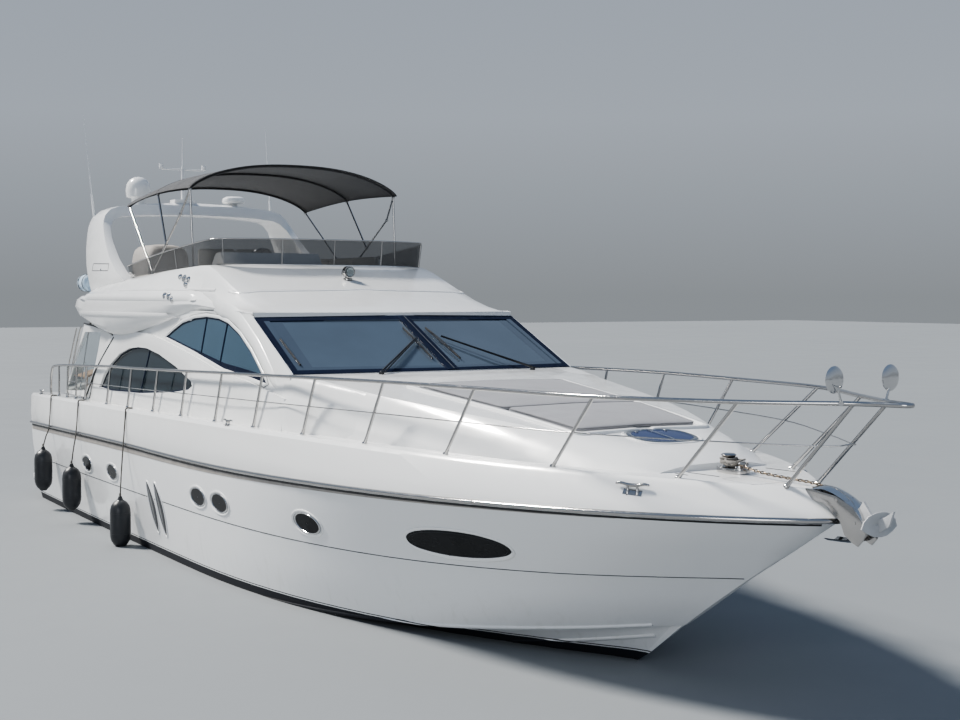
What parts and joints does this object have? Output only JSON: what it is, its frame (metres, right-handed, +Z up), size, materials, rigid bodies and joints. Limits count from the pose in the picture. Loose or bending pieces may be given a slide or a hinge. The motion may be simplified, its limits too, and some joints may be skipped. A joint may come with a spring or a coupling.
{
  "type": "flybridge motor yacht, about 20 m",
  "caption": "White flybridge motor yacht afloat: vee hull, hollow saloon with arched windows, open flybridge with radar arch and canvas top, bow rail, twin propellers and rudders.",
  "frame": {"origin": "on the centreline amidships, at the water's surface", "axes": "+X forward to the bow, +Y to port, +Z up"},
  "size_m": [21.416, 5.4287, 8.7324],
  "materials": {
    "gelcoat_white": "polished gelcoat",
    "hull_gelcoat": "polished gelcoat, black antifouling below the boot stripe",
    "stainless": "polished stainless steel",
    "bronze": "cast bronze",
    "tinted_glass": "tinted, polished",
    "smoked_acrylic": "smoked, polished",
    "canvas_charcoal": "woven acrylic canvas",
    "cushion_grey": "coated outdoor cloth",
    "canvas_blue": "coated cloth",
    "fender_black": "matt knitted cover",
    "teak": "oiled teak",
    "dark_trim": "satin",
    "mirror_glass": "polished"
  },
  "bodies": {
    "vessel": {"hull": "hull_gelcoat", "deck_moulding": "gelcoat_white", "deckhouse": "gelcoat_white", "side_window_aft_port": "tinted_glass", "side_window_aft_starboard": "tinted_glass", "side_window_fore_port": "tinted_glass", "side_window_fore_starboard": "tinted_glass", "windshield_port": "tinted_glass", "windshield_starboard": "tinted_glass", "saloon_aft_window_port": "tinted_glass", "saloon_aft_window_starboard": "tinted_glass", "saloon_dash": "dark_trim", "saloon_settee": "cushion_grey", "saloon_helm_seat": "cushion_grey", "flybridge_moulding": "gelcoat_white", "radar_arch": "gelcoat_white", "satellite_dome": "gelcoat_white", "radar_scanner": "gelcoat_white", "signal_mast": "gelcoat_white", "whip_antenna_port": "gelcoat_white", "whip_antenna_starboard": "gelcoat_white", "wind_deflector": "smoked_acrylic", "bimini_canopy": "canvas_charcoal", "bimini_frame": "stainless", "fly_console": "gelcoat_white", "fly_helm_seat": "cushion_grey", "fly_settee": "cushion_grey", "fly_covered_seat": "cushion_grey", "flybridge_ladder": "stainless", "stowage_roll": "canvas_blue", "cockpit_seat": "cushion_grey", "cockpit_table": "teak", "overhang_pillar_port": "stainless", "overhang_pillar_starboard": "stainless", "swim_platform": "gelcoat_white", "rubbing_strake": "stainless", "guard_rail": "stainless", "docking_mirror_port": "mirror_glass", "docking_mirror_starboard": "mirror_glass", "windlass": "stainless", "bow_roller": "stainless", "anchor": "stainless", "sunpad_aft": "cushion_grey", "sunpad_fore": "cushion_grey", "searchlight": "stainless", "fender_forward": "fender_black", "fender_middle": "fender_black", "fender_aft": "fender_black", "shaft_bracket_port": "bronze", "shaft_bracket_starboard": "bronze"},
    "door_leaf": {"saloon_door": "tinted_glass"},
    "deck_hatch_lid": {"foredeck_hatch": "tinted_glass"},
    "sole_hatch_lid": {"cockpit_hatch": "teak"},
    "gate_leaf": {"transom_gate": "gelcoat_white"},
    "drum": {"windlass_drum": "stainless"},
    "steering_wheel": {"helm_wheel": "stainless"},
    "screw_port": {"propeller_port": "bronze"},
    "screw_starboard": {"propeller_starboard": "bronze"},
    "rudder_blade_port": {"rudder_port": "bronze"},
    "rudder_blade_starboard": {"rudder_starboard": "bronze"}
  },
  "joints": [
    {"name": "saloon_door_slide", "type": "slide", "parent": "vessel", "child": "door_leaf", "axis": [0, 1, 0], "range_m": [0, 1]},
    {"name": "deck_hatch_hinge", "type": "hinge", "parent": "vessel", "child": "deck_hatch_lid", "pos_m": [7.485, 0, 2.505], "axis": [0, 1, 0], "range_deg": [0, 80]},
    {"name": "sole_hatch_hinge", "type": "hinge", "parent": "vessel", "child": "sole_hatch_lid", "pos_m": [-6.906, 0, 1.66], "axis": [0, 1, 0], "range_deg": [0, 85]},
    {"name": "gate_hinge", "type": "hinge", "parent": "vessel", "child": "gate_leaf", "pos_m": [-9.59, -1.952, 1.9], "axis": [0, 0, 1], "range_deg": [0, 90]},
    {"name": "drum_turn", "type": "hinge", "parent": "vessel", "child": "drum", "pos_m": [8.26, 0, 2.38], "axis": [0, 0, 1], "continuous": true},
    {"name": "wheel_turn", "type": "hinge", "parent": "vessel", "child": "steering_wheel", "pos_m": [-2.46, -0.6, 4.66], "axis": [0.7071, 0, -0.7071], "continuous": true},
    {"name": "screw_port_turn", "type": "hinge", "parent": "vessel", "child": "screw_port", "pos_m": [-8.2, 0.95, -0.96], "axis": [0.996, 0, 0.0896], "continuous": true},
    {"name": "screw_starboard_turn", "type": "hinge", "parent": "vessel", "child": "screw_starboard", "pos_m": [-8.2, -0.95, -0.96], "axis": [0.996, 0, 0.0896], "continuous": true},
    {"name": "rudder_port_turn", "type": "hinge", "parent": "vessel", "child": "rudder_blade_port", "pos_m": [-9.05, 0.95, -0.6], "axis": [0, 0, 1], "range_deg": [-35, 35]},
    {"name": "rudder_starboard_turn", "type": "hinge", "parent": "vessel", "child": "rudder_blade_starboard", "pos_m": [-9.05, -0.95, -0.6], "axis": [0, 0, 1], "range_deg": [-35, 35]}
  ],
  "couplings": [
    {"joint": "rudder_port_turn", "follows": "rudder_starboard_turn", "ratio": 1}
  ]
}
